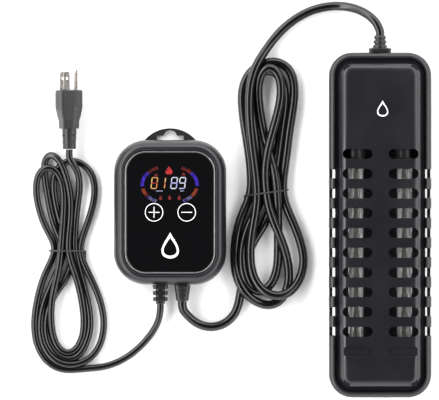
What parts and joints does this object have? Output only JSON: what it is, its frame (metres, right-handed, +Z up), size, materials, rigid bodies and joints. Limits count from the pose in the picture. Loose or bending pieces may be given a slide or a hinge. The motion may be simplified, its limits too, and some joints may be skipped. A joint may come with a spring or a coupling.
{
  "type": "submersible aquarium heater",
  "caption": "Submersible aquarium heater: slotted guard round quartz heating tubes, a touch controller with digital display, suction cups, and a mains lead with plug.",
  "frame": {"origin": "middle of the footprint of the heater and the controller together, on the surface they lie on", "axes": "+Z up, out of the slotted front and the control panel; +Y along the heater towards its cord end; +X from the controller towards the heater"},
  "size_m": [0.3995, 0.3955, 0.052],
  "materials": {
    "satin_charcoal": "satin charcoal ABS",
    "black_plastic": "matt black ABS",
    "black_rubber": "matt black rubber or soft PVC",
    "glossy_cord": "glossy black PVC",
    "tie_plastic": "black coated wire",
    "steel": "stainless steel",
    "nickelled_brass": "nickel plated brass",
    "quartz": "clear quartz glass",
    "white_ceramic": "unglazed white ceramic",
    "nichrome": "oxidised resistance wire",
    "glass_sleeving": "woven glass sleeving",
    "black_glass": "polished black panel",
    "satin_trim": "satin metallic trim line",
    "display_housing": "white display frame",
    "board_green": "solder mask",
    "relay_blue": "blue case",
    "winding_tape": "yellow winding tape",
    "terminal_green": "green terminal block"
  },
  "bodies": {
    "heater_set": {"casing_gasket": "black_rubber", "ceramic_core_left": "white_ceramic", "ceramic_core_right": "white_ceramic", "circuit_board": "board_green", "coil_lead_left": "glass_sleeving", "coil_lead_right": "glass_sleeving", "controller_back": "black_plastic", "controller_front": "satin_charcoal", "controller_screw_1": "steel", "controller_screw_2": "steel", "controller_screw_3": "steel", "controller_screw_4": "steel", "cord_boot": "black_rubber", "cord_gland": "black_plastic", "display_module": "display_housing", "front_guard": "satin_charcoal", "guard_screw_1": "steel", "guard_screw_2": "steel", "guard_screw_3": "steel", "guard_screw_4": "steel", "head_lid": "black_plastic", "heater_cord_hank": "glossy_cord", "heater_cord_lower": "glossy_cord", "heater_cord_tie": "tie_plastic", "heater_cord_upper": "glossy_cord", "heater_strain_relief": "black_rubber", "heating_coil_left": "nichrome", "heating_coil_right": "nichrome", "mains_cord_hank": "glossy_cord", "mains_cord_lower": "glossy_cord", "mains_cord_tie": "tie_plastic", "mains_cord_upper": "glossy_cord", "mains_strain_relief": "black_rubber", "panel_trim": "satin_trim", "plug_blade_line": "nickelled_brass", "plug_blade_neutral": "nickelled_brass", "plug_body": "black_rubber", "plug_ground_pin": "nickelled_brass", "power_transformer": "winding_tape", "quartz_tube_left": "quartz", "quartz_tube_right": "quartz", "rear_guard": "satin_charcoal", "relay": "relay_blue", "sealed_head": "black_plastic", "smoothing_capacitor": "black_plastic", "temperature_probe": "steel", "terminal_block": "terminal_green", "thermal_cutout": "steel", "touch_panel": "black_glass", "touch_spring_minus": "steel", "touch_spring_plus": "steel", "tube_bracket": "black_plastic", "tube_foot_left": "black_rubber", "tube_foot_right": "black_rubber", "tube_seal_left": "black_rubber", "tube_seal_right": "black_rubber"},
    "cup_top_left": {"suction_cup_top_left": "black_rubber"},
    "cup_top_right": {"suction_cup_top_right": "black_rubber"},
    "cup_bottom_left": {"suction_cup_bottom_left": "black_rubber"},
    "cup_bottom_right": {"suction_cup_bottom_right": "black_rubber"}
  },
  "joints": [
    {"name": "cup_turn_top_left", "type": "hinge", "parent": "heater_set", "child": "cup_top_left", "pos_m": [0.0815, 0.1095, 0.015], "axis": [0, 0, 1], "continuous": true},
    {"name": "cup_turn_top_right", "type": "hinge", "parent": "heater_set", "child": "cup_top_right", "pos_m": [0.1335, 0.1095, 0.015], "axis": [0, 0, 1], "continuous": true},
    {"name": "cup_turn_bottom_left", "type": "hinge", "parent": "heater_set", "child": "cup_bottom_left", "pos_m": [0.0815, -0.1265, 0.015], "axis": [0, 0, 1], "continuous": true},
    {"name": "cup_turn_bottom_right", "type": "hinge", "parent": "heater_set", "child": "cup_bottom_right", "pos_m": [0.1335, -0.1265, 0.015], "axis": [0, 0, 1], "continuous": true}
  ]
}
